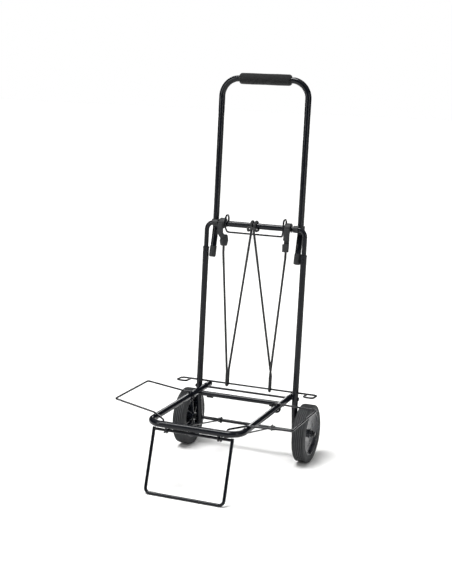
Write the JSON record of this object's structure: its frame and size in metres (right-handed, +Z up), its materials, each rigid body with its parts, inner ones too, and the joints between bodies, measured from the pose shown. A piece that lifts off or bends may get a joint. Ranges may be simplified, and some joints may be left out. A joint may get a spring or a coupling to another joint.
{
  "type": "shopping trolley",
  "caption": "Folding two-wheeled shopping trolley with a push-down tube handle, a fold-up load base with flip-out wire wings, a swing-down foot and an elastic load cord.",
  "frame": {"origin": "on the floor, under the centre of the trolley's box with the base down", "axes": "+Z up, +Y to the back of the trolley where the user pulls, +X to the right of someone who looks at its front"},
  "size_m": [0.465, 0.4808, 0.9854],
  "materials": {
    "black_paint": "gloss black powder coat",
    "black_plastic": "moulded, lightly textured",
    "foam": "closed-cell foam, matte",
    "tyre": "ribbed rubber",
    "hub_plastic": "moulded, semi-gloss",
    "bush_steel": "turned",
    "elastic": "braided elastic cord"
  },
  "bodies": {
    "frame": {"lower_tube_left": "black_paint", "lower_tube_right": "black_paint", "yoke": "black_paint", "crossbar_sleeve": "black_paint", "yoke_rivets": "black_paint", "leg_guide_left": "black_plastic", "leg_guide_right": "black_plastic", "axle": "black_paint", "axle_spacers": "black_plastic", "axle_caps": "black_paint", "stay_collars": "black_paint", "tube_end_plugs": "black_plastic", "base_pivot_rod": "black_paint", "rear_rail": "black_paint", "elastic_cord": "elastic", "cord_hook_left": "black_plastic", "cord_hook_right": "black_plastic"},
    "handle": {"handle_tube": "black_paint", "foam_grip": "foam", "handle_cap_left": "black_plastic", "handle_cap_right": "black_plastic"},
    "wheel_left": {"tyre_left": "tyre", "hub_left": "hub_plastic", "bush_left": "bush_steel"},
    "wheel_right": {"tyre_right": "tyre", "hub_right": "hub_plastic", "bush_right": "bush_steel"},
    "base": {"base_tube": "black_paint", "base_rear_bar": "black_paint", "base_plugs": "black_plastic", "foot_staples": "black_paint"},
    "foot": {"foot_rod": "black_paint", "foot_pin_rod": "black_paint"},
    "stay_left": {"stay_left": "black_paint"},
    "stay_right": {"stay_right": "black_paint"},
    "wing_left": {"wing_left": "black_paint"},
    "wing_right": {"wing_right": "black_paint"},
    "bail": {"bag_bail": "black_paint"}
  },
  "joints": [
    {"name": "handle_slide", "type": "slide", "parent": "frame", "child": "handle", "axis": [0, -0.0523, -0.9986], "range_m": [0, 0.26]},
    {"name": "wheel_left_spin", "type": "hinge", "parent": "frame", "child": "wheel_left", "pos_m": [-0.166, 0.16541, 0.075], "axis": [1, 0, 0], "continuous": true},
    {"name": "wheel_right_spin", "type": "hinge", "parent": "frame", "child": "wheel_right", "pos_m": [0.166, 0.16541, 0.075], "axis": [1, 0, 0], "continuous": true},
    {"name": "base_fold", "type": "hinge", "parent": "frame", "child": "base", "pos_m": [0, 0.15807, 0.16388], "axis": [-1, 0, 0], "range_deg": [0, 79]},
    {"name": "foot_fold", "type": "hinge", "parent": "base", "child": "foot", "pos_m": [0, -0.19193, 0.14948], "axis": [1, 0, 0], "range_deg": [0, 91]},
    {"name": "stay_left_turn", "type": "hinge", "parent": "frame", "child": "stay_left", "pos_m": [-0.072, 0.16541, 0.075], "axis": [-1, 0, 0], "range_deg": [0, 62]},
    {"name": "stay_right_turn", "type": "hinge", "parent": "frame", "child": "stay_right", "pos_m": [0.072, 0.16541, 0.075], "axis": [-1, 0, 0], "range_deg": [0, 62]},
    {"name": "wing_left_flip", "type": "hinge", "parent": "base", "child": "wing_left", "pos_m": [-0.118, 0.05841, 0.16388], "axis": [0, 1, 0], "range_deg": [0, 165]},
    {"name": "wing_right_flip", "type": "hinge", "parent": "base", "child": "wing_right", "pos_m": [0.118, 0.05841, 0.16388], "axis": [0, -1, 0], "range_deg": [0, 165]},
    {"name": "bail_swing", "type": "hinge", "parent": "frame", "child": "bail", "pos_m": [0, 0.18094, 0.60028], "axis": [1, 0, 0], "range_deg": [0, 70]}
  ],
  "couplings": [
    {"joint": "stay_left_turn", "follows": "base_fold", "ratio": 0.782},
    {"joint": "stay_right_turn", "follows": "base_fold", "ratio": 0.782}
  ]
}
